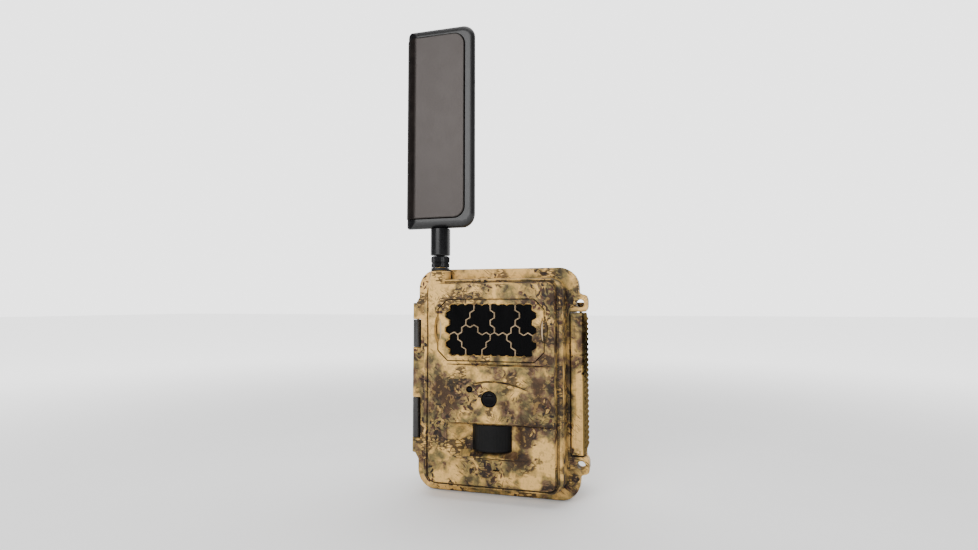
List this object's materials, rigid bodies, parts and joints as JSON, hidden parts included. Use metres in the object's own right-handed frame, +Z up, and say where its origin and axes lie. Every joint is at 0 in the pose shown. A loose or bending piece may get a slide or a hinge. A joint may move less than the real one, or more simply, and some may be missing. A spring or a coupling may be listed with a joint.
{
  "type": "trail camera",
  "caption": "Cellular trail camera: hinged camouflage case with infrared lamp window, lens, motion sensor, side latch, padlock ears and a swivelling paddle antenna.",
  "frame": {"origin": "on the plane of the rear housing's flat underside, midway between the hinge barrels and the tips of the padlock ears, and midway front to back; the antenna's paddle reaches 1.7 mm past the hinge, so the whole box is centred within 1 mm of it", "axes": "+Z up along the antenna, -Y is the front with the lens, +X is the latch side, -X the hinge side"},
  "size_m": [0.1157, 0.068, 0.296],
  "materials": {
    "camo_plastic": "matt, printed with a tan, brown and olive camouflage film",
    "black_plastic": "satin",
    "antenna_plastic": "satin, fine moulded texture",
    "lamp_filter": "gloss, passes infrared only",
    "lens_glass": "gloss",
    "pir_window": "satin, ribbed inside as a Fresnel lens",
    "circuit_board": "solder mask",
    "rubber": "matt",
    "steel": "plated",
    "brass": "machined",
    "battery_wrap": "plain plastic wrap over a cell",
    "key_plastic": "satin"
  },
  "bodies": {
    "case": {"rear_housing": "camo_plastic", "hinge_pin": "steel", "hinge_bracket_lower": "black_plastic", "hinge_bracket_upper": "black_plastic", "latch_pin": "steel", "battery_tray": "black_plastic", "battery_cell_1": "battery_wrap", "battery_cell_2": "battery_wrap", "battery_cell_3": "battery_wrap", "battery_cell_4": "battery_wrap", "battery_cell_5": "battery_wrap", "battery_cell_6": "battery_wrap", "battery_cell_7": "battery_wrap", "battery_cell_8": "battery_wrap", "battery_cover": "black_plastic", "contact_strip_lower": "steel", "contact_strip_middle": "steel", "contact_strip_upper": "steel", "dc_jack": "black_plastic", "door_gasket": "rubber", "tripod_insert": "brass"},
    "door": {"front_cover": "camo_plastic", "led_bezel": "camo_plastic", "led_filter": "lamp_filter", "ir_led_board": "circuit_board", "lens_window": "lens_glass", "lens_barrel": "black_plastic", "camera_module": "black_plastic", "light_sensor_window": "lens_glass", "pir_lens": "pir_window", "pir_sensor": "steel", "main_board": "circuit_board", "cellular_module": "steel", "inner_panel": "black_plastic", "lcd_screen": "lens_glass", "panel_screw_1": "steel", "panel_screw_2": "steel", "panel_screw_3": "steel", "panel_screw_4": "steel", "sd_socket": "steel", "usb_port": "steel", "sma_jack": "brass", "jack_seal": "rubber", "antenna_lead": "rubber"},
    "latch": {"latch_lever": "camo_plastic"},
    "antenna": {"antenna_stem": "black_plastic", "antenna_blade": "black_plastic", "antenna_panel": "antenna_plastic", "antenna_element": "circuit_board"},
    "antenna_nut": {"antenna_nut": "black_plastic"},
    "ir_cut_filter": {"ir_cut_filter": "lens_glass"},
    "key_up": {"key_up": "key_plastic"},
    "key_down": {"key_down": "key_plastic"},
    "key_left": {"key_left": "key_plastic"},
    "key_right": {"key_right": "key_plastic"},
    "key_ok": {"key_ok": "key_plastic"},
    "key_menu": {"key_menu": "key_plastic"},
    "mode_switch": {"mode_switch": "key_plastic"},
    "sd_card": {"sd_card": "black_plastic"},
    "dc_plug": {"dc_plug_cap": "rubber"}
  },
  "joints": [
    {"name": "door_hinge", "type": "hinge", "parent": "case", "child": "door", "pos_m": [-0.054, -0.015, 0.07], "axis": [0, 0, -1], "range_deg": [0, 160]},
    {"name": "latch_pivot", "type": "hinge", "parent": "case", "child": "latch", "pos_m": [0.0502, 0.008, 0.07], "axis": [0, 0, 1], "range_deg": [0, 100]},
    {"name": "antenna_swivel", "type": "hinge", "parent": "door", "child": "antenna", "pos_m": [-0.0348, -0.025, 0.148], "axis": [0, 0, 1], "continuous": true},
    {"name": "antenna_nut_spin", "type": "hinge", "parent": "door", "child": "antenna_nut", "pos_m": [-0.0348, -0.025, 0.144], "axis": [0, 0, 1], "continuous": true},
    {"name": "ir_cut_filter_slide", "type": "slide", "parent": "door", "child": "ir_cut_filter", "axis": [1, 0, 0], "range_m": [0, 0.007]},
    {"name": "key_up_press", "type": "slide", "parent": "door", "child": "key_up", "axis": [0, -1, 0], "range_m": [0, 0.0007], "stiffness_N_per_m": 900},
    {"name": "key_down_press", "type": "slide", "parent": "door", "child": "key_down", "axis": [0, -1, 0], "range_m": [0, 0.0007], "stiffness_N_per_m": 900},
    {"name": "key_left_press", "type": "slide", "parent": "door", "child": "key_left", "axis": [0, -1, 0], "range_m": [0, 0.0007], "stiffness_N_per_m": 900},
    {"name": "key_right_press", "type": "slide", "parent": "door", "child": "key_right", "axis": [0, -1, 0], "range_m": [0, 0.0007], "stiffness_N_per_m": 900},
    {"name": "key_ok_press", "type": "slide", "parent": "door", "child": "key_ok", "axis": [0, -1, 0], "range_m": [0, 0.0007], "stiffness_N_per_m": 900},
    {"name": "key_menu_press", "type": "slide", "parent": "door", "child": "key_menu", "axis": [0, -1, 0], "range_m": [0, 0.0007], "stiffness_N_per_m": 900},
    {"name": "mode_switch_slide", "type": "slide", "parent": "door", "child": "mode_switch", "axis": [1, 0, 0], "range_m": [-0.0025, 0.0025]},
    {"name": "sd_card_slide", "type": "slide", "parent": "door", "child": "sd_card", "axis": [1, 0, 0], "range_m": [-0.0008, 0.0095]},
    {"name": "dc_plug_pull", "type": "slide", "parent": "case", "child": "dc_plug", "axis": [-1, 0, 0], "range_m": [0, 0.008]}
  ]
}
